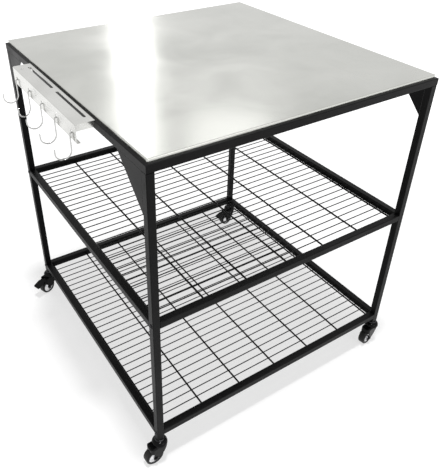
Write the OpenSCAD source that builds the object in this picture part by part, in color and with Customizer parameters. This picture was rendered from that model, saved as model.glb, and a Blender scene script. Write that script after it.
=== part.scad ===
// Square grill cart on casters: a tube frame with a folded worktop, two wire decks and a utensil rack.

/* [Frame] */
// Outside width and depth of the square frame
frame_w = 813; // [700:1:950]
// Height of the worktop above the floor
table_h = 914; // [850:1:980]
// Outside size of the square tube
tube = 19; // [17:0.5:24]
// Wall thickness of the square tube
tube_wall = 1.5; // [1:0.1:2.5]
// Outside corner radius of the square tube
tube_r = 2; // [1:0.1:3]
// Top of the middle shelf's tubes above the floor
mid_shelf_h = 503; // [350:1:650]
// Top of the lower shelf's tubes above the floor
low_shelf_h = 119; // [112:1:200]
// Length of the upright and the level side of a gusset plate
gusset_leg = 100; // [50:1:160]
// Thickness of a gusset plate
gusset_t = 2; // [1.5:0.1:4]
// How far a gusset plate lies behind the tube's outer face
gusset_inset = 0.5; // [0:0.1:5]

/* [Wire decks] */
// Diameter of the thick wires, front to back
thick_d = 5; // [4:0.5:7]
// Diameter of the thin wires, side to side
thin_d = 3; // [2:0.5:4]
// Distance between the thick wires
thick_pitch = 127; // [80:1:180]
// Distance between the thin wires
thin_pitch = 25.4; // [20:0.1:40]
// How far a thin wire is pressed into a thick one by the spot weld
weld_sink = 0.5; // [0.2:0.1:1]

/* [Worktop] */
// Sheet thickness of the worktop
pan_t = 1; // [0.8:0.1:2]
// Height of the worktop's folded skirt
skirt_h = 8.5; // [6:0.5:20]
// Width of the ledge of tube that stays bare around the worktop
ledge = 6.5; // [2:0.5:8]
// Outside radius of the fold along the worktop's top edge
fold_r = 2; // [1:0.1:4]
// Plan radius of the worktop's corners
corner_r = 3; // [2:0.5:8]
// Width of the hem that turns in under the skirt
hem = 9; // [7:0.5:12]
// Width of a stiffening channel under the worktop
channel_w = 60; // [30:1:120]
// Height of a stiffening channel
channel_h = 18; // [10:1:30]
// Sheet thickness of a stiffening channel
channel_t = 1.2; // [0.8:0.1:2]
// Distance of each channel from the middle of the worktop
channel_x = 190; // [100:1:280]

/* [Utensil rack] */
// Length of the rack
rack_l = 395; // [340:1:600]
// Width of the rack, out from the frame
rack_w = 43; // [36:1:80]
// How far the rack's top lies over the tube of the frame
rack_over = 2; // [1:0.5:3]
// Height of the rack's outer wall
rack_h = 43.5; // [40:0.5:80]
// Height of the rack's end walls and of its fixing tabs
rack_side_h = 15; // [14:0.5:19]
// Sheet thickness of the rack
rack_t = 1.2; // [0.8:0.1:2]
// Outside radius of the rack's folds
rack_r = 2.4; // [2:0.1:4]
// Width of the lip that turns in under the outer wall
rack_lip = 9; // [5:0.5:15]
// How far the rack's middle lies behind the frame's middle
rack_y = 10.5; // [-60:0.5:60]
// Distance from the rack's ends to the slots for hanging tools
slot_end = 24.5; // [18:0.5:60]
// Width of each slot
slot_w = 7; // [5:0.5:12]
// Strip of sheet between the slots and the frame
slot_edge = 6; // [3.5:0.5:10]
// Strip of sheet between the two slots
slot_bridge = 25; // [10:1:40]
// Diameter of the small hole in the rack's top
eye_d = 6; // [5:0.5:10]
// Distance of the small hole from the rack's back end
eye_y = 30; // [12:1:60]
// Distance of the small hole from the rack's outer wall
eye_x = 14.5; // [8:0.5:16]
// Diameter of the holes for the hooks
hook_hole_d = 8; // [6:0.5:12]
// Middle of the hook holes below the rack's top
hook_hole_drop = 23.5; // [15:0.5:28]
// Distance between the hook holes
hook_pitch = 87; // [60:0.5:89]

/* [S-hooks] */
// Wire diameter of a hook
hook_d = 3; // [2:0.5:4]
// Radius of the hook's small upper bend, to the middle of the wire
hook_loop_r = 5; // [4:0.5:8]
// Radius of the hook's large lower bend, to the middle of the wire
hook_bend_r = 18.5; // [10:0.5:25]
// Drop from the hook's seat to the bottom of its large bend
hook_drop = 58; // [48:1:90]
// Straight tip of the large bend
hook_tip = 8; // [2:1:20]
// Turn of the second hook about its vertical
hook_turn = 25; // [-30:1:30]

/* [Casters] */
// Height of the leg's lower end above the floor
caster_h = 85; // [84:0.5:92]
// Diameter of the wheel
wheel_d = 52; // [44:1:54]
// Width of the tyre
tyre_w = 22; // [16:0.5:26]
// Radial thickness of the tyre
tyre_t = 7; // [5:0.5:10]
// Horizontal distance from the swivel axis to the axle
trail = 20; // [12:0.5:26]
// Diameter of the axle bolt
axle_d = 6; // [5:0.5:8]
// Diameter of the swivel stem
stem_d = 10; // [8:0.5:11]
// Radius of the fork's domed crown
crown_r = 21; // [20:0.5:23]
// Rounding of the crown's dome
crown_round = 11; // [8:0.5:12]
// Thickness of a fork arm
arm_t = 2.6; // [2:0.1:4]
// Radius of the fork arm's eye around the axle
arm_eye_r = 6.5; // [6:0.5:8]
// Turn of the front left caster from straight ahead
turn_fl = 2; // [-180:1:180]
// Turn of the front right caster
turn_fr = 8; // [-180:1:180]
// Turn of the back left caster
turn_bl = 20; // [-180:1:180]
// Turn of the back right caster
turn_br = 6; // [-180:1:180]

/* [Brake pedals] */
// Length of the pedal from its pin to its tip
pedal_l = 39; // [30:1:45]
// Width of the pedal between the cheeks of the fork
pedal_w = 20; // [14:0.5:22]
// Width of the pedal's tread outside the fork
tread_w = 26; // [20:0.5:30]
// Thickness of the pedal's tread
pedal_t = 3; // [2:0.5:5]
// Slope of the pedal at rest, below level
pedal_slope = 20.5; // [10:0.5:28]
// Diameter of the pedal's pin
pedal_pin_d = 3; // [2.5:0.5:4]

/* [Fasteners] */
// Thread diameter of the shelf bolts
bolt_d = 6; // [5:0.5:8]
// Head diameter of the shelf bolts
bolt_head_d = 11; // [10:0.5:14]
// Thread diameter of the screws
screw_d = 4; // [3:0.5:5]
// Head diameter of the screws
screw_head_d = 8; // [7:0.5:10]

/* [Hidden] */
$fn = 48;
eps = 0.01;
// Clearances: round parts that turn, flat parts that turn, and loose parts that rest on each other
run_gap = 0.05;
face_gap = 0.3;
seat_gap = 0.3;
plug_gap = 0.1;

// Main levels and distances
frame_top = table_h - skirt_h;
half_w = frame_w / 2;
axis = half_w - tube / 2;
clear = frame_w - 2 * tube;
pan_w = frame_w - 2 * ledge;
// Plate that closes the end of a shelf rail and takes a bolt
end_plate = 4;

// Worktop: channels, and the screws from below through the top frame into the hem
channel_brim = 12;
channel_l = clear - 20;
screw_y = half_w - ledge - hem / 2;
screw_head_h = 2.4;

// Rack and hooks, measured from the frame's middle and from the hook's seat
rack_top = frame_top + rack_t;
rack_in = min(rack_over, ledge - 0.5);
flange_x = half_w + rack_w - rack_t / 2;
seat_z = rack_top - hook_hole_drop - hook_hole_d / 2 + hook_d / 2 + seat_gap;
bend_x = hook_loop_r + hook_bend_r;
bend_z = hook_bend_r - hook_drop;
slot_l = (rack_l - slot_bridge) / 2 - slot_end;
tab_l = slot_end - 2;
rack_screw_y = (rack_l - slot_end) / 2;
rack_screw_z = rack_top - rack_side_h / 2;

// Caster levels
wheel_r = wheel_d / 2;
hub_r = wheel_r - tyre_t;
tyre_gap = 1.4;
pocket_r = wheel_r + 2.5;
arm_in = tyre_w / 2 + tyre_gap;
arm_out = arm_in + arm_t;
plug_flange = 2;
cap_t = 4;
cap_z = caster_h - plug_flange - cap_t;
crown_top = cap_z - face_gap;
web_t = 6;
web_z = crown_top - web_t;
rivet_t = 3;
// The plug is as long as the shelf bolt above it allows
plug_l = min(30, low_shelf_h - tube / 2 - bolt_d / 2 - 1.5 - caster_h);
// Lower edge of the crown's dome, top of the hood behind it, and the hood's back end
crown_low = crown_top - crown_round - 2;
hood_top = crown_low + 0.5;
hood_z = wheel_r + 28;
hood_back = trail + 14;
hood_corner = 10;
hood_edge = 5;

// Brake pedal: its pin in the side view, and the depth of the fork's notch for it
pin_x = -hood_back + 4.5;
pin_z = hood_z + 3.5;
pedal_notch = 15;
// Angle from the pin down to the axle, and reach of the shoe from the pin so that it clears the tyre
axle_dir = atan2(wheel_r - pin_z, -trail - pin_x);
pin_to_axle = norm([pin_z - wheel_r, pin_x + trail]);
shoe_turn = 45;
shoe_r = 1.8;
shoe_gap = 1.45;
shoe_side = pin_to_axle * sin(shoe_turn);
shoe_reach = pin_to_axle * cos(shoe_turn) - sqrt(pow(wheel_r + shoe_r + shoe_gap, 2) - pow(shoe_side, 2));

// The whole cart is moved sideways so that the middle of its full width lies on the origin
reach_left = flange_x + bend_x + hook_bend_r + hook_d / 2;
reach_right = axis + crown_r;
mid_x = (reach_left - reach_right) / 2;

steel_black = [0.13, 0.13, 0.14];
stainless = [0.80, 0.80, 0.78];
dark_plastic = [0.07, 0.07, 0.08];
rubber_black = [0.10, 0.10, 0.10];
zinc = [0.72, 0.73, 0.74];

module cart() {
  translate([mid_x, 0, 0]) children();
}

// Turns a part built along Z so that it lies along X or Y
module along_x() {
  rotate([90, 0, 90]) children();
}

module along_y() {
  rotate([90, 0, 0]) children();
}

// Square with round corners, centred
module rounded_square(w, r) {
  square([w - 2 * r, w], center = true);
  square([w, w - 2 * r], center = true);
  for (x = [-1, 1], y = [-1, 1])
    translate([x * (w / 2 - r), y * (w / 2 - r)]) circle(r);
}

// Straight slot with round ends, centred, its length along Y
module stadium(l, w) {
  square([w, l - w], center = true);
  for (y = [-1, 1])
    translate([0, y * (l - w) / 2]) circle(d = w);
}

// Hollow square tube along Z, centred on its length
module tube_bar(l) {
  difference() {
    linear_extrude(l, center = true) rounded_square(tube, tube_r);
    cube([tube - 2 * tube_wall, tube - 2 * tube_wall, l + 1], center = true);
  }
}

// Frame

// One side of the mitred top frame, along X, its outer face towards -Y
module top_tube() {
  difference() {
    intersection() {
      translate([0, -axis, frame_top - tube / 2]) along_x() tube_bar(frame_w);
      translate([0, 0, frame_top - tube - 1])
        linear_extrude(tube + 2) polygon([
          [-half_w, -half_w], [half_w, -half_w],
          [half_w - tube, tube - half_w], [tube - half_w, tube - half_w]
        ]);
    }
    for (s = [-1, 1])
      translate([s * channel_x, -screw_y, frame_top - tube - 1])
        cylinder(d = screw_d + 2 * plug_gap, h = tube + 2);
  }
}

module top_front_tube() { color(steel_black) cart() top_tube(); }
module top_back_tube() { color(steel_black) cart() rotate([0, 0, 180]) top_tube(); }

// The left tube also takes the two screws of the rack
module top_left_tube() {
  color(steel_black) cart() difference() {
    rotate([0, 0, -90]) top_tube();
    for (s = [-1, 1])
      translate([-half_w - 1, rack_y + s * rack_screw_y, rack_screw_z])
        rotate([0, 90, 0]) cylinder(d = screw_d + 2 * plug_gap, h = tube_wall + 2);
  }
}

module top_right_tube() { color(steel_black) cart() rotate([0, 0, 90]) top_tube(); }

// Leg with the cross holes for its two shelf bolts
module leg(sx, sy) {
  leg_l = frame_top - tube - caster_h;
  translate([sx * axis, sy * axis, 0]) difference() {
    translate([0, 0, caster_h + leg_l / 2]) tube_bar(leg_l);
    for (h = [mid_shelf_h, low_shelf_h])
      translate([0, 0, h - tube / 2])
        rotate([0, 90, 0]) cylinder(d = bolt_d + 2 * plug_gap, h = tube + 2, center = true);
  }
}

module leg_front_left() { color(steel_black) cart() leg(-1, -1); }
module leg_front_right() { color(steel_black) cart() leg(1, -1); }
module leg_back_left() { color(steel_black) cart() leg(-1, 1); }
module leg_back_right() { color(steel_black) cart() leg(1, 1); }

// Shelf rail along X between two legs, closed at each end by a plate that takes a bolt
module cross_rail(sy, h) {
  translate([0, sy * axis, h - tube / 2]) difference() {
    union() {
      along_x() tube_bar(clear);
      for (s = [-1, 1])
        translate([s * (clear - end_plate) / 2, 0, 0])
          cube([end_plate, tube - 2 * tube_wall, tube - 2 * tube_wall], center = true);
    }
    rotate([0, 90, 0]) cylinder(d = bolt_d + 2 * plug_gap, h = clear + 1, center = true);
  }
}

// Shelf rail along Y between two legs
module side_rail(sx, h) {
  translate([sx * axis, 0, h - tube / 2]) along_y() tube_bar(clear);
}

module mid_front_rail() { color(steel_black) cart() cross_rail(-1, mid_shelf_h); }
module mid_back_rail() { color(steel_black) cart() cross_rail(1, mid_shelf_h); }
module mid_left_rail() { color(steel_black) cart() side_rail(-1, mid_shelf_h); }
module mid_right_rail() { color(steel_black) cart() side_rail(1, mid_shelf_h); }
module low_front_rail() { color(steel_black) cart() cross_rail(-1, low_shelf_h); }
module low_back_rail() { color(steel_black) cart() cross_rail(1, low_shelf_h); }
module low_left_rail() { color(steel_black) cart() side_rail(-1, low_shelf_h); }
module low_right_rail() { color(steel_black) cart() side_rail(1, low_shelf_h); }

// Deck of crossing wires, spot welded to each other and at their ends to the rails
module wire_deck(h) {
  thick_z = h - tube + thick_d / 2;
  thin_z = thick_z + (thick_d + thin_d) / 2 - weld_sink;
  thick_n = floor((clear / 2 - thick_d) / thick_pitch);
  thin_n = floor((clear / 2 - thin_d) / thin_pitch);
  for (k = [-thick_n : thick_n])
    translate([k * thick_pitch, 0, thick_z])
      rotate([90, 0, 0]) cylinder(d = thick_d, h = clear, center = true);
  for (k = [-thin_n : thin_n])
    translate([0, k * thin_pitch, thin_z])
      rotate([0, 90, 0]) cylinder(d = thin_d, h = clear, center = true);
}

module mid_wire_deck() { color(steel_black) cart() wire_deck(mid_shelf_h); }
module low_wire_deck() { color(steel_black) cart() wire_deck(low_shelf_h); }

// Triangular plate in the corner between a leg and a side tube of the top frame
module gusset(sx, sy) {
  inner = clear / 2;
  top = frame_top - tube;
  far = half_w - gusset_inset;
  near = far - gusset_t;
  translate([sx > 0 ? near : -far, 0, 0]) along_x() linear_extrude(gusset_t)
    polygon([[sy * inner, top], [sy * (inner - gusset_leg), top], [sy * inner, top - gusset_leg]]);
}

module gusset_front_left() { color(steel_black) cart() gusset(-1, -1); }
module gusset_front_right() { color(steel_black) cart() gusset(1, -1); }
module gusset_back_left() { color(steel_black) cart() gusset(-1, 1); }
module gusset_back_right() { color(steel_black) cart() gusset(1, 1); }

// Worktop

// Block with its two top edges along Z rounded, from z = 0 up to h
module folded_bar(w, h, r) {
  along_x() linear_extrude(w, center = true) {
    translate([-w / 2, 0]) square([w, h - r]);
    translate([-w / 2 + r, 0]) square([w - 2 * r, h]);
    for (s = [-1, 1])
      translate([s * (w / 2 - r), h - r]) circle(r);
  }
}

// Rounded block that the worktop is folded round: outside with inset 0, inside with inset = sheet
module pan_block(inset) {
  w = pan_w - 2 * inset;
  h = skirt_h - inset;
  r = max(fold_r - inset, 0.2);
  c = max(corner_r - inset, 0.2);
  intersection() {
    folded_bar(w, h, r);
    rotate([0, 0, 90]) folded_bar(w, h, r);
    linear_extrude(h) rounded_square(w, c);
  }
}

module worktop_pan() {
  translate([0, 0, frame_top]) difference() {
    pan_block(0);
    difference() {
      pan_block(pan_t);
      difference() {
        translate([0, 0, pan_t / 2]) cube([pan_w, pan_w, pan_t], center = true);
        cube([pan_w - 2 * hem, pan_w - 2 * hem, 3 * pan_t], center = true);
      }
    }
    for (a = [0 : 90 : 270])
      rotate([0, 0, a]) for (s = [-1, 1])
        translate([s * channel_x, -screw_y, -1]) cylinder(d = screw_d + 2 * plug_gap, h = pan_t + 1.5);
  }
}

// Hat channel, open side up, welded under the sheet along its two brims
module hat_channel() {
  low = channel_w / 2 - channel_brim;
  translate([0, 0, table_h - pan_t]) rotate([90, 0, 0]) linear_extrude(channel_l, center = true)
    polygon([
      [-channel_w / 2, 0], [-low + channel_t, 0], [-low + channel_t, channel_t - channel_h],
      [low - channel_t, channel_t - channel_h], [low - channel_t, 0], [channel_w / 2, 0],
      [channel_w / 2, -channel_t], [low, -channel_t], [low, -channel_h],
      [-low, -channel_h], [-low, -channel_t], [-channel_w / 2, -channel_t]
    ]);
}

// Screw from below through a tube of the top frame into the worktop's hem
module frame_screw() {
  under = frame_top - tube;
  translate([0, 0, under - screw_head_h]) cylinder(d = screw_head_d, h = screw_head_h);
  translate([0, 0, under - eps]) cylinder(d = screw_d, h = tube + pan_t + eps);
}

module worktop() { color(stainless) cart() worktop_pan(); }

module worktop_channels() {
  color(stainless) cart() for (s = [-1, 1])
    translate([s * channel_x, 0, 0]) hat_channel();
}

module worktop_screws() {
  color(zinc) cart() for (a = [0 : 90 : 270])
    rotate([0, 0, a]) for (s = [-1, 1])
      translate([s * channel_x, -screw_y, 0]) frame_screw();
}

// Fasteners of the shelves and plugs in the legs

// Button head bolt along +X, its head's seat on the plane x = 0
module shelf_bolt() {
  head_h = 3;
  rotate([0, 90, 0]) {
    cylinder(d = bolt_d, h = tube + end_plate);
    translate([0, 0, -head_h]) difference() {
      intersection() {
        cylinder(d = bolt_head_d, h = head_h + eps);
        translate([0, 0, bolt_head_d * 0.8]) sphere(bolt_head_d * 0.8);
      }
      translate([0, 0, -1]) cylinder(r = bolt_d / 3, h = 1 + head_h / 2, $fn = 6);
    }
  }
}

module shelf_bolts() {
  color(dark_plastic) cart() for (h = [mid_shelf_h, low_shelf_h], sy = [-1, 1])
    translate([0, sy * axis, h - tube / 2]) {
      translate([-half_w, 0, 0]) shelf_bolt();
      mirror([1, 0, 0]) translate([-half_w, 0, 0]) shelf_bolt();
    }
}

// Plug in the leg's lower end that holds the caster's stem
module leg_plug() {
  inner = tube - 2 * tube_wall - 2 * plug_gap;
  difference() {
    union() {
      translate([0, 0, caster_h - plug_flange]) linear_extrude(plug_flange) rounded_square(tube, tube_r);
      translate([-inner / 2, -inner / 2, caster_h - eps]) cube([inner, inner, plug_l + eps]);
    }
    translate([0, 0, caster_h - plug_flange - 1])
      cylinder(d = stem_d + 2 * run_gap, h = plug_l + plug_flange + 2);
  }
}

module leg_plugs() {
  color(dark_plastic) cart() for (sx = [-1, 1], sy = [-1, 1])
    translate([sx * axis, sy * axis, 0]) leg_plug();
}

// Utensil rack

// Cross-section of the rack, x outward from the frame and y down from its top
module rack_section() {
  translate([-rack_in, -rack_t]) square([rack_w + rack_in - rack_r, rack_t]);
  difference() {
    translate([rack_w / 2, -rack_h / 2]) rack_block(0);
    translate([rack_w / 2, -rack_h / 2]) rack_block(rack_t);
    translate([-1, -rack_h - 1]) square([rack_w - rack_lip + 1, rack_h + 2]);
  }
}

module rack_block(inset) {
  w = rack_w - 2 * inset;
  h = rack_h - 2 * inset;
  r = rack_r - inset;
  square([w - 2 * r, h], center = true);
  square([w, h - 2 * r], center = true);
  for (x = [-1, 1], y = [-1, 1])
    translate([x * (w / 2 - r), y * (h / 2 - r)]) circle(r);
}

// Folded tray with its body towards -X; its top lies over the frame's tube, and the tabs at its two ends
// stand against the tube, on x = 0
module rack() {
  slot_x = slot_edge + slot_w / 2;
  difference() {
    union() {
      mirror([1, 0, 0]) along_y() linear_extrude(rack_l, center = true) rack_section();
      for (s = [-1, 1])
        translate([-rack_w + rack_t / 2, s * (rack_l - rack_t) / 2 - rack_t / 2, -rack_side_h])
          cube([rack_w - rack_t, rack_t, rack_side_h - rack_t / 2]);
      for (s = [-1, 1])
        translate([-rack_t, s * (rack_l - tab_l) / 2 - tab_l / 2, -rack_side_h])
          cube([rack_t, tab_l, rack_side_h - rack_t / 2]);
    }
    for (s = [-1, 1])
      translate([-slot_x, s * (slot_l + slot_bridge) / 2, -rack_t - 1])
        linear_extrude(rack_t + 2) stadium(slot_l, slot_w);
    translate([eye_x - rack_w, rack_l / 2 - eye_y, -rack_t - 1]) cylinder(d = eye_d, h = rack_t + 2);
    for (k = [-2 : 2])
      translate([-rack_w - 1, k * hook_pitch, -hook_hole_drop])
        rotate([0, 90, 0]) cylinder(d = hook_hole_d, h = rack_t + 2);
    for (s = [-1, 1])
      translate([-rack_t - 1, s * rack_screw_y, -rack_side_h / 2])
        rotate([0, 90, 0]) cylinder(d = screw_d + 2 * plug_gap, h = rack_t + 2);
  }
}

module utensil_rack() {
  color(stainless) cart() translate([-half_w, rack_y, rack_top]) rack();
}

// Screws that fix the rack's tabs to the left tube of the top frame
module rack_screws() {
  color(zinc) cart() for (s = [-1, 1])
    translate([-half_w - rack_t, rack_y + s * rack_screw_y, rack_screw_z]) rotate([0, 90, 0]) {
      translate([0, 0, -screw_head_h]) cylinder(d = screw_head_d, h = screw_head_h);
      translate([0, 0, -eps]) cylinder(d = screw_d, h = rack_t + tube_wall + 4 + eps);
    }
}

// Part of a wire ring in the XZ plane, from angle a over the given sweep
module wire_arc(r, a, sweep) {
  rotate([90, 0, 0]) rotate([0, 0, a])
    rotate_extrude(angle = sweep) translate([r, 0]) circle(d = hook_d);
}

// S-hook with its seat at the origin and its large bend towards -X
module s_hook() {
  inner_end = -15;
  translate([0, 0, -hook_loop_r]) {
    wire_arc(hook_loop_r, inner_end, 180 - inner_end);
    rotate([0, -inner_end, 0]) translate([hook_loop_r, 0, 0]) sphere(d = hook_d);
  }
  translate([-hook_loop_r, 0, bend_z]) cylinder(d = hook_d, h = -bend_z - hook_loop_r);
  translate([-bend_x, 0, bend_z]) {
    wire_arc(hook_bend_r, 180, 180);
    translate([-hook_bend_r, 0, 0]) cylinder(d = hook_d, h = hook_tip);
    translate([-hook_bend_r, 0, hook_tip]) sphere(d = hook_d);
  }
}

// A turned hook crosses the sheet at a slant, so it sits a little higher in its hole
module hook(k, turn) {
  lift = rack_t / 2 * abs(sin(turn));
  color(stainless) cart() translate([-flange_x, rack_y + k * hook_pitch, seat_z + lift])
    rotate([0, 0, turn]) s_hook();
}

module hook_1() { hook(2, 0); }
module hook_2() { hook(1, hook_turn); }
module hook_3() { hook(0, 0); }
module hook_4() { hook(-1, 0); }
module hook_5() { hook(-2, 0); }

// Casters, each built with its swivel axis on Z and its wheel trailing towards -X

module at_corner(sx, sy, turn) {
  cart() translate([sx * axis, sy * axis, 0]) rotate([0, 0, turn]) children();
}

// Stem with the round dust cap above the fork and the rivet head below its web
module stem() {
  cap_r = crown_r - 8.5;
  translate([0, 0, web_z - face_gap]) cylinder(d = stem_d, h = caster_h + plug_l - web_z + face_gap);
  translate([0, 0, web_z - face_gap - rivet_t]) cylinder(d = stem_d + 4, h = rivet_t);
  translate([0, 0, cap_z]) rotate_extrude() {
    square([cap_r - 2, cap_t]);
    square([cap_r, cap_t - 2]);
    translate([cap_r - 2, cap_t - 2]) circle(2);
  }
}

// Curved front edge that arms and hood share, seen from the side
module fork_front() {
  front_r = 62;
  intersection() {
    translate([crown_r - 6 - front_r, crown_top - 6]) circle(front_r, $fn = 96);
    children();
  }
}

// Outline of a fork arm, seen from the side, with the axle at [-trail, wheel_r]
module arm_outline() {
  translate([-trail, wheel_r]) circle(arm_eye_r);
  fork_front() polygon([
    [-trail - arm_eye_r, wheel_r], [hood_corner - hood_back, hood_z - 10],
    [hood_corner - hood_back, hood_z], [0, hood_top - hood_edge], [crown_r, hood_top - hood_edge],
    [crown_r, wheel_r + 5], [-trail + arm_eye_r + 1, wheel_r - 2], [-trail, wheel_r - arm_eye_r]
  ]);
}

// Outline of the hood over the wheel, seen from the side
module hood_outline() {
  fork_front() {
    polygon([
      [-hood_back, hood_z - 6], [-hood_back, hood_top - hood_edge], [hood_edge - hood_back, hood_top],
      [crown_r, hood_top], [crown_r, hood_z - 12], [0, hood_z - 14]
    ]);
    translate([hood_edge - hood_back, hood_top - hood_edge]) circle(hood_edge);
  }
}

// Outline of the hood from above, with round back corners
module hood_plan() {
  far = arm_out - hood_corner;
  translate([hood_corner - hood_back, -arm_out]) square([hood_back - hood_corner + crown_r, 2 * arm_out]);
  translate([-hood_back, -far]) square([hood_corner + 1, 2 * far]);
  for (s = [-1, 1])
    translate([hood_corner - hood_back, s * far]) circle(hood_corner);
}

// Outline of the hood from the front, y across and z up, with round shoulders
module hood_front() {
  far = arm_out - hood_edge;
  translate([-arm_out, 0]) square([2 * arm_out, hood_top - hood_edge]);
  translate([-far, 0]) square([2 * far, hood_top]);
  for (s = [-1, 1])
    translate([s * far, hood_top - hood_edge]) circle(hood_edge);
}

module hood() {
  intersection() {
    rotate([90, 0, 0]) linear_extrude(2 * arm_out, center = true) hood_outline();
    linear_extrude(crown_top) hood_plan();
    along_x() linear_extrude(4 * crown_r, center = true) hood_front();
  }
}

// Domed crown round the swivel axis, widest at its lower edge
module crown() {
  rotate_extrude() intersection() {
    union() {
      square([crown_r - crown_round, crown_top]);
      square([crown_r, crown_top - crown_round]);
      translate([crown_r - crown_round, crown_top - crown_round]) circle(crown_round);
    }
    translate([0, crown_low]) square([crown_r, crown_top]);
  }
}

// Moulded fork: crown, hood and two arms round the wheel, with a notch for the pedal if it brakes
module fork(brake) {
  difference() {
    union() {
      crown();
      hood();
      rotate([90, 0, 0]) linear_extrude(2 * arm_out, center = true) arm_outline();
    }
    translate([-trail, 0, wheel_r]) rotate([90, 0, 0])
      cylinder(r = pocket_r, h = 2 * arm_in, center = true);
    translate([-trail, 0, wheel_r]) rotate([90, 0, 0])
      cylinder(d = axle_d + 2 * run_gap, h = 3 * arm_out, center = true);
    translate([0, 0, wheel_r]) cylinder(d = stem_d + 2 * run_gap, h = caster_h);
    translate([0, 0, wheel_r]) cylinder(d = stem_d + 6, h = web_z - wheel_r);
    if (brake) {
      translate([-hood_back - 5, -pedal_w / 2 - face_gap, hood_z - 10])
        cube([pedal_notch, pedal_w + 2 * face_gap, 30]);
      translate([pin_x, 0, pin_z]) rotate([90, 0, 0])
        cylinder(d = pedal_pin_d + 2 * run_gap, h = 3 * arm_out, center = true);
    }
  }
}

// Axle bolt with a round head on the outer side and a hexagon nut on the other
module axle() {
  head_h = 2.2;
  nut_h = 3.5;
  translate([-trail, 0, wheel_r]) rotate([90, 0, 0]) {
    cylinder(d = axle_d, h = 2 * arm_out + 2 * nut_h, center = true);
    translate([0, 0, arm_out]) cylinder(d = axle_d + 4, h = head_h);
    translate([0, 0, -arm_out - nut_h]) cylinder(r = axle_d * 0.95, h = nut_h, $fn = 6);
  }
}

// Hub with a dished face on each side and a barrel on the axle
module hub() {
  rim_w = tyre_w - 3;
  face_w = tyre_w - 9;
  barrel_r = axle_d / 2 + 3;
  barrel_w = 2 * (arm_in - face_gap);
  translate([-trail, 0, wheel_r]) rotate([90, 0, 0]) difference() {
    union() {
      cylinder(r = hub_r - run_gap, h = rim_w, center = true);
      cylinder(r = barrel_r, h = barrel_w, center = true);
    }
    for (s = [0, 1])
      mirror([0, 0, s]) translate([0, 0, face_w / 2]) difference() {
        cylinder(r = hub_r - 2.5, h = tyre_w);
        cylinder(r = barrel_r, h = tyre_w);
      }
    cylinder(d = axle_d + 2 * run_gap, h = 2 * tyre_w, center = true);
  }
}

module tyre() {
  round_r = 4;
  translate([-trail, 0, wheel_r]) rotate([90, 0, 0]) rotate_extrude($fn = 96) difference() {
    union() {
      translate([0, -tyre_w / 2]) square([wheel_r - round_r, tyre_w]);
      translate([0, -tyre_w / 2 + round_r]) square([wheel_r, tyre_w - 2 * round_r]);
      for (s = [-1, 1])
        translate([wheel_r - round_r, s * (tyre_w / 2 - round_r)]) circle(round_r);
    }
    translate([-1, -tyre_w]) square([hub_r + 1, 2 * tyre_w]);
  }
}

// Plan of the pedal, x from the pin to the tip; it widens outside the fork and has round corners
module pedal_plan() {
  neck_l = 8;
  round_r = 5;
  flare_l = neck_l + (tread_w - pedal_w) / 2;
  translate([0, -pedal_w / 2]) square([pedal_l - round_r, pedal_w]);
  polygon([
    [neck_l, -pedal_w / 2], [flare_l, -tread_w / 2], [pedal_l - round_r, -tread_w / 2],
    [pedal_l - round_r, tread_w / 2], [flare_l, tread_w / 2], [neck_l, pedal_w / 2]
  ]);
  translate([flare_l, round_r - tread_w / 2]) square([pedal_l - flare_l, tread_w - 2 * round_r]);
  for (s = [-1, 1])
    translate([pedal_l - round_r, s * (tread_w / 2 - round_r)]) circle(round_r);
}

// Brake pedal: a sloping tread, a barrel on the pin and a shoe that swings down on to the tyre
module pedal() {
  barrel_r = pedal_pin_d / 2 + 2;
  translate([pin_x, 0, pin_z]) difference() {
    union() {
      rotate([90, 0, 0]) linear_extrude(pedal_w, center = true) {
        circle(barrel_r);
        rotate(axle_dir - shoe_turn) {
          translate([0, -shoe_r]) square([shoe_reach, 2 * shoe_r]);
          translate([shoe_reach, 0]) circle(shoe_r);
        }
      }
      rotate([0, pedal_slope, 180]) translate([0, 0, barrel_r - pedal_t])
        linear_extrude(pedal_t) pedal_plan();
    }
    rotate([90, 0, 0]) cylinder(d = pedal_pin_d + 2 * run_gap, h = 2 * pedal_w, center = true);
  }
}

// Pin that is pressed into the two cheeks of the fork
module pedal_pin() {
  translate([pin_x, 0, pin_z]) rotate([90, 0, 0])
    cylinder(d = pedal_pin_d, h = pedal_w + 2 * face_gap + 4.5, center = true);
}

module stem_front_left() { color(zinc) at_corner(-1, -1, 0) stem(); }
module stem_front_right() { color(zinc) at_corner(1, -1, 0) stem(); }
module stem_back_left() { color(zinc) at_corner(-1, 1, 0) stem(); }
module stem_back_right() { color(zinc) at_corner(1, 1, 0) stem(); }
module fork_front_left() { color(dark_plastic) at_corner(-1, -1, turn_fl) fork(false); }
module fork_front_right() { color(dark_plastic) at_corner(1, -1, turn_fr) fork(false); }
module fork_back_left() { color(dark_plastic) at_corner(-1, 1, turn_bl) fork(true); }
module fork_back_right() { color(dark_plastic) at_corner(1, 1, turn_br) fork(true); }
module axle_front_left() { color(zinc) at_corner(-1, -1, turn_fl) axle(); }
module axle_front_right() { color(zinc) at_corner(1, -1, turn_fr) axle(); }
module axle_back_left() { color(zinc) at_corner(-1, 1, turn_bl) axle(); }
module axle_back_right() { color(zinc) at_corner(1, 1, turn_br) axle(); }
module hub_front_left() { color(zinc) at_corner(-1, -1, turn_fl) hub(); }
module hub_front_right() { color(zinc) at_corner(1, -1, turn_fr) hub(); }
module hub_back_left() { color(zinc) at_corner(-1, 1, turn_bl) hub(); }
module hub_back_right() { color(zinc) at_corner(1, 1, turn_br) hub(); }
module tyre_front_left() { color(rubber_black) at_corner(-1, -1, turn_fl) tyre(); }
module tyre_front_right() { color(rubber_black) at_corner(1, -1, turn_fr) tyre(); }
module tyre_back_left() { color(rubber_black) at_corner(-1, 1, turn_bl) tyre(); }
module tyre_back_right() { color(rubber_black) at_corner(1, 1, turn_br) tyre(); }
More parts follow.
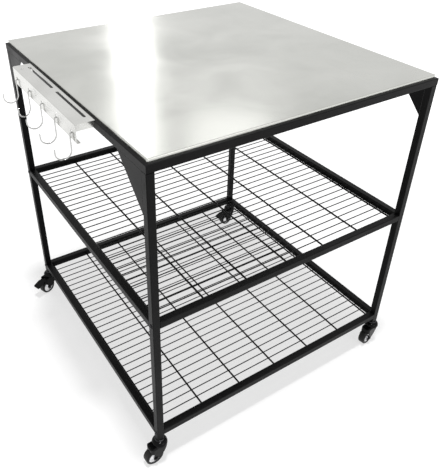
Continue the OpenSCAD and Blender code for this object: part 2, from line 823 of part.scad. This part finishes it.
module pedal_back_left() { color(dark_plastic) at_corner(-1, 1, turn_bl) pedal(); }
module pedal_back_right() { color(dark_plastic) at_corner(1, 1, turn_br) pedal(); }
module pedal_pin_back_left() { color(zinc) at_corner(-1, 1, turn_bl) pedal_pin(); }
module pedal_pin_back_right() { color(zinc) at_corner(1, 1, turn_br) pedal_pin(); }

top_front_tube();
top_back_tube();
top_left_tube();
top_right_tube();
leg_front_left();
leg_front_right();
leg_back_left();
leg_back_right();
mid_front_rail();
mid_back_rail();
mid_left_rail();
mid_right_rail();
low_front_rail();
low_back_rail();
low_left_rail();
low_right_rail();
mid_wire_deck();
low_wire_deck();
gusset_front_left();
gusset_front_right();
gusset_back_left();
gusset_back_right();
worktop();
worktop_channels();
worktop_screws();
shelf_bolts();
leg_plugs();
utensil_rack();
rack_screws();
hook_1();
hook_2();
hook_3();
hook_4();
hook_5();
stem_front_left();
stem_front_right();
stem_back_left();
stem_back_right();
fork_front_left();
fork_front_right();
fork_back_left();
fork_back_right();
axle_front_left();
axle_front_right();
axle_back_left();
axle_back_right();
hub_front_left();
hub_front_right();
hub_back_left();
hub_back_right();
tyre_front_left();
tyre_front_right();
tyre_back_left();
tyre_back_right();
pedal_back_left();
pedal_back_right();
pedal_pin_back_left();
pedal_pin_back_right();
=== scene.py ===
"""Grill cart: the looks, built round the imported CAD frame. Metres, +Z up, the frame of the CAD."""
import math

import bpy
from mathutils import Matrix, Vector

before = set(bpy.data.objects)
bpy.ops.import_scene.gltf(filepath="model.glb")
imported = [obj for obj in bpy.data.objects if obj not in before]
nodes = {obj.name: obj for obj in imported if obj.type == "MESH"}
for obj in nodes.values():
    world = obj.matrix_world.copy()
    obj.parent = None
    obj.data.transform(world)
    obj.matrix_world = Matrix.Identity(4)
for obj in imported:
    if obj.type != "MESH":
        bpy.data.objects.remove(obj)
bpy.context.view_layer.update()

scene = bpy.context.scene

# Camera: fitted to the photo's edges, its principal point off the middle of the 441 x 468 frame
PHOTO_W, PHOTO_H = 441, 468
FOCAL_PX = 567.76
CENTRE_PX = (194.0, 204.76)
CAMERA_AT = Vector((-0.77653, -1.19487, 1.41208))
CAMERA_AXES = (
    (0.841501, 0.294569, -0.452885),
    (-0.540204, 0.470341, -0.697825),
    (0.007453, 0.831870, 0.554920),
)
SENSOR = 36.0
CLIP_NEAR, CLIP_FAR = 0.01, 60.0

# Middle of the frame, which lies beside the origin because the rack widens the cart on the left
MIDDLE_X = 0.0372
# Point of the worktop that the lamps aim at
TARGET = Vector((MIDDLE_X, 0.0, 0.9))

# Strength of the world where it is seen or mirrored, and where it only lights the cart
WHITE = (1, 1, 1, 1)
SEEN_WORLD, SOFT_WORLD = 1.0, 0.3
# Floor: its grey where it only lights the cart, and its darker grey, under a glow, where it is seen
FLOOR_HALF = 30.0
PLAIN_GREY, SEEN_GREY = (0.80, 0.80, 0.80, 1), (0.38, 0.38, 0.38, 1)
# The glow near the cart and far away, and the distances between which it changes
GLOW_NEAR, GLOW_FAR = 0.66, 1.0
FADE_START, FADE_END = 1.2, 2.4
# Distance of the two soft boxes from the worktop
BOX_AWAY = 4.5

# Where most values of a noise texture lie
SPAN = (0.3, 0.7)


def make_camera():
    data = bpy.data.cameras.new("camera")
    data.sensor_fit = "VERTICAL"
    data.sensor_height = SENSOR
    data.lens = FOCAL_PX / PHOTO_H * SENSOR
    data.shift_x = (PHOTO_W / 2 - CENTRE_PX[0]) / PHOTO_H
    data.shift_y = (CENTRE_PX[1] - PHOTO_H / 2) / PHOTO_H
    data.clip_start = CLIP_NEAR
    data.clip_end = CLIP_FAR
    cam = bpy.data.objects.new("camera", data)
    cam.matrix_world = Matrix.Translation(CAMERA_AT) @ Matrix(CAMERA_AXES).to_4x4()
    scene.collection.objects.link(cam)
    scene.camera = cam


class Nodes:
    """Short calls for building a node tree."""

    def __init__(self, tree):
        self.tree = tree
        tree.nodes.clear()

    def add(self, kind, inputs=None, **settings):
        node = self.tree.nodes.new(kind)
        for key, value in settings.items():
            setattr(node, key, value)
        for key, value in (inputs or {}).items():
            self.put(node, key, value)
        return node

    def put(self, node, key, value):
        """Link a socket to the input, or set the input to a value."""
        if isinstance(value, bpy.types.NodeSocket):
            self.tree.links.new(value, node.inputs[key])
        else:
            node.inputs[key].default_value = value

    def output(self, kind, shader):
        self.put(self.add(kind), "Surface", shader.outputs[0])

    def coords(self, stretch=(1, 1, 1)):
        place = self.add("ShaderNodeTexCoord").outputs["Object"]
        return self.add("ShaderNodeMapping", {"Vector": place, "Scale": stretch}).outputs["Vector"]

    def noise(self, scale, detail=2.0, rough=0.5, stretch=(1, 1, 1), warp=0.0):
        return self.add("ShaderNodeTexNoise", {
            "Vector": self.coords(stretch), "Scale": scale, "Detail": detail,
            "Roughness": rough, "Distortion": warp,
        }).outputs["Fac"]

    def ranged(self, value, low, high, start=0.0, end=1.0):
        """The value's range from start to end, spread over low to high and held there."""
        return self.add("ShaderNodeMapRange", {
            "Value": value, "From Min": start, "From Max": end, "To Min": low, "To Max": high,
        }).outputs["Result"]

    def maths(self, operation, a, b):
        node = self.add("ShaderNodeMath", operation=operation)
        self.put(node, 0, a)
        self.put(node, 1, b)
        return node.outputs[0]

    def mix(self, factor, a, b):
        """Mix two RGB colours, linear."""
        color_a, color_b, result = 6, 7, 2
        node = self.add("ShaderNodeMix", data_type="RGBA")
        self.put(node, "Factor", factor)
        self.put(node, color_a, (*a, 1))
        self.put(node, color_b, (*b, 1))
        return node.outputs[result]

    def bump(self, height, strength, distance, under=None):
        inputs = {"Height": height, "Strength": strength, "Distance": distance}
        if under is not None:
            inputs["Normal"] = under
        return self.add("ShaderNodeBump", inputs).outputs["Normal"]


def material(name, build, **fixed):
    """A material whose linked inputs come from build and whose constants are in fixed."""
    mat = bpy.data.materials.new(name)
    mat.use_nodes = True
    n = Nodes(mat.node_tree)
    shader = n.add("ShaderNodeBsdfPrincipled")
    for key, value in fixed.items():
        n.put(shader, key.replace("_", " "), value)
    for key, value in build(n).items():
        n.put(shader, key, value)
    n.output("ShaderNodeOutputMaterial", shader)
    return mat


def powder_coat(n):
    """Fine orange peel, slightly uneven gloss and a trace of dust."""
    peel = n.noise(900, 3)
    cloud = n.noise(9, 4)
    dust = n.ranged(n.noise(60, 5, 0.6), 0, 1, 0.45, 0.8)
    return {
        "Base Color": n.mix(dust, (0.002, 0.002, 0.0022), (0.005, 0.005, 0.0053)),
        "Roughness": n.ranged(cloud, 0.34, 0.46, *SPAN),
        "Normal": n.bump(peel, 0.28, 0.0002),
    }


def sheet_steel(base, bright, low_rough, high_rough, along, wave):
    """Fine brushing along one axis, cloudy smudges and the slight waviness of thin sheet."""

    def build(n):
        stretch = {"x": (1, 45, 45), "y": (45, 1, 45)}[along]
        grain = n.noise(28, 4, 0.6, stretch)
        smudge = n.noise(5.5, 3, 0.55, warp=0.6)
        ripple = n.noise(3.2, 1, 0.4)
        streaks = n.ranged(grain, -0.12, 0.12, *SPAN)
        tone = n.maths("ADD", streaks, n.ranged(smudge, 0, 1, 0.3, 0.75))
        worn = n.ranged(smudge, low_rough, high_rough, *SPAN)
        rough = n.maths("ADD", worn, n.ranged(grain, -0.02, 0.02, *SPAN))
        rolled = n.bump(ripple, 1.0, wave)
        return {
            "Base Color": n.mix(tone, base, bright),
            "Roughness": rough,
            "Normal": n.bump(grain, 0.05, 0.0001, rolled),
        }

    return build


def bright_wire(n):
    """Polished stainless wire with faint draw marks."""
    marks = n.noise(700, 3)
    return {
        "Base Color": n.mix(n.ranged(marks, 0, 1, *SPAN), (0.42, 0.42, 0.41), (0.56, 0.56, 0.55)),
        "Roughness": n.ranged(marks, 0.07, 0.14, *SPAN),
    }


def plated(low, high, rough):
    """Zinc or nickel plating with a fine crystal spangle."""

    def build(n):
        spangle = n.noise(420, 3)
        return {
            "Base Color": n.mix(n.ranged(spangle, 0, 1, *SPAN), low, high),
            "Roughness": n.ranged(spangle, rough, rough + 0.12, *SPAN),
            "Normal": n.bump(spangle, 0.06, 0.0001),
        }

    return build


def moulded(low, high, low_rough, high_rough, grain, depth):
    """Moulded plastic or rubber with a skin of the given grain."""

    def build(n):
        skin = n.noise(grain, 3)
        cloud = n.noise(40, 3)
        return {
            "Base Color": n.mix(n.ranged(cloud, 0, 1, 0.35, 0.7), low, high),
            "Roughness": n.ranged(cloud, low_rough, high_rough, 0.35, 0.7),
            "Normal": n.bump(skin, 0.25, depth),
        }

    return build


MATERIALS = {
    "powder_coat": material("powder_coat", powder_coat, Specular_IOR_Level=0.1),
    "worktop_steel": material(
        "worktop_steel",
        sheet_steel((0.500, 0.505, 0.476), (0.570, 0.572, 0.543), 0.17, 0.25, "x", 0.0022),
        Metallic=1.0),
    "rack_steel": material(
        "rack_steel",
        sheet_steel((0.54, 0.54, 0.52), (0.64, 0.64, 0.62), 0.16, 0.24, "y", 0.0002),
        Metallic=1.0),
    "bright_wire": material("bright_wire", bright_wire, Metallic=1.0),
    "zinc": material(
        "zinc", plated((0.52, 0.53, 0.54), (0.68, 0.69, 0.70), 0.22), Metallic=1.0),
    "black_zinc": material(
        "black_zinc", plated((0.030, 0.030, 0.032), (0.055, 0.055, 0.058), 0.28), Metallic=1.0),
    "hub_steel": material(
        "hub_steel", plated((0.72, 0.72, 0.73), (0.88, 0.88, 0.89), 0.14), Metallic=1.0),
    "black_nylon": material(
        "black_nylon",
        moulded((0.002, 0.002, 0.0022), (0.004, 0.004, 0.0044), 0.08, 0.15, 650, 0.0001),
        Specular_IOR_Level=0.1),
    "rubber": material(
        "rubber",
        moulded((0.004, 0.004, 0.004), (0.008, 0.008, 0.008), 0.36, 0.50, 500, 0.0003),
        Specular_IOR_Level=0.25),
}

# Material of each CAD node, by the start of its name; the first that fits counts
FINISH = (
    ("worktop_screws", "zinc"), ("worktop", "worktop_steel"),
    ("utensil_rack", "rack_steel"), ("rack_screws", "zinc"), ("hook_", "bright_wire"),
    ("stem_", "black_zinc"), ("fork_", "black_nylon"), ("axle_", "black_zinc"),
    ("hub_", "hub_steel"), ("tyre_", "rubber"), ("pedal_pin_", "black_zinc"),
    ("pedal_", "black_nylon"), ("leg_plugs", "black_nylon"), ("shelf_bolts", "black_zinc"),
    ("", "powder_coat"),
)


def finish_cad_nodes():
    for name, obj in nodes.items():
        key = next(mat for start, mat in FINISH if name.startswith(start))
        obj.data.materials.clear()
        obj.data.materials.append(MATERIALS[key])


def seen_directly(n):
    """1 for camera, mirror and see-through rays, which show the background."""
    path = n.add("ShaderNodeLightPath").outputs
    both = n.maths("MAXIMUM", path["Is Camera Ray"], path["Is Glossy Ray"])
    return n.maths("MAXIMUM", both, path["Is Transmission Ray"])


def make_world():
    world = bpy.data.worlds.new("studio")
    scene.world = world
    world.use_nodes = True
    n = Nodes(world.node_tree)
    seen = seen_directly(n)
    white = n.add("ShaderNodeBackground", {"Color": WHITE, "Strength": SEEN_WORLD})
    soft = n.add("ShaderNodeBackground", {"Color": WHITE, "Strength": SOFT_WORLD})
    mixed = n.add("ShaderNodeMixShader", {0: seen, 1: soft.outputs[0], 2: white.outputs[0]})
    n.output("ShaderNodeOutputWorld", mixed)


def make_floor():
    """Plain white floor with the cart's soft shadow, which fades into the background far away."""
    h = FLOOR_HALF
    mesh = bpy.data.meshes.new("floor")
    mesh.from_pydata([(-h, -h, 0), (h, -h, 0), (h, h, 0), (-h, h, 0)], [], [(0, 1, 2, 3)])
    floor = bpy.data.objects.new("floor", mesh)
    scene.collection.objects.link(floor)
    mat = bpy.data.materials.new("floor")
    mat.use_nodes = True
    n = Nodes(mat.node_tree)
    place = n.add("ShaderNodeTexCoord").outputs["Object"]
    away = n.add("ShaderNodeVectorMath", {0: place}, operation="LENGTH").outputs["Value"]
    strength = n.ranged(away, GLOW_NEAR, GLOW_FAR, FADE_START, FADE_END)
    plain = n.add("ShaderNodeBsdfDiffuse", {"Color": PLAIN_GREY})
    shaded = n.add("ShaderNodeBsdfDiffuse", {"Color": SEEN_GREY})
    glow = n.add("ShaderNodeEmission", {"Color": WHITE, "Strength": strength})
    lifted = n.add("ShaderNodeAddShader", {0: shaded.outputs[0], 1: glow.outputs[0]})
    mixed = n.add("ShaderNodeMixShader", {
        0: seen_directly(n), 1: plain.outputs[0], 2: lifted.outputs[0],
    })
    n.output("ShaderNodeOutputMaterial", mixed)
    mesh.materials.append(mat)


def around(azimuth, elevation):
    """A soft box's place, by its azimuth from +X towards +Y and its elevation."""
    a, e = math.radians(azimuth), math.radians(elevation)
    way = Vector((math.cos(a) * math.cos(e), math.sin(a) * math.cos(e), math.sin(e)))
    return TARGET + BOX_AWAY * way


def area_light(name, place, power, width, height, aim=TARGET):
    data = bpy.data.lights.new(name, "AREA")
    data.shape = "RECTANGLE"
    data.size = width
    data.size_y = height
    data.energy = power
    lamp = bpy.data.objects.new(name, data)
    lamp.location = place
    lamp.rotation_euler = (Vector(aim) - Vector(place)).to_track_quat("-Z", "Y").to_euler()
    scene.collection.objects.link(lamp)


def make_lamps():
    # A key high overhead, so that the shadow hugs the left side
    area_light("key", (-0.12, -0.45, 6.0), 330, 0.6, 0.6, aim=(0.0, 0.0, 0.0))
    # A wide soft fill in front
    area_light("fill", (0.9, -3.4, 1.6), 24, 2.0, 1.6)
    # Two soft boxes behind the cart, which the worktop mirrors
    area_light("strip", around(66, 20), 6.2, 0.36, 2.4)
    area_light("high_box", around(52, 31), 2.0, 0.8, 0.5)


make_camera()
make_world()
make_floor()
make_lamps()
finish_cad_nodes()

scene.view_settings.view_transform = "Standard"
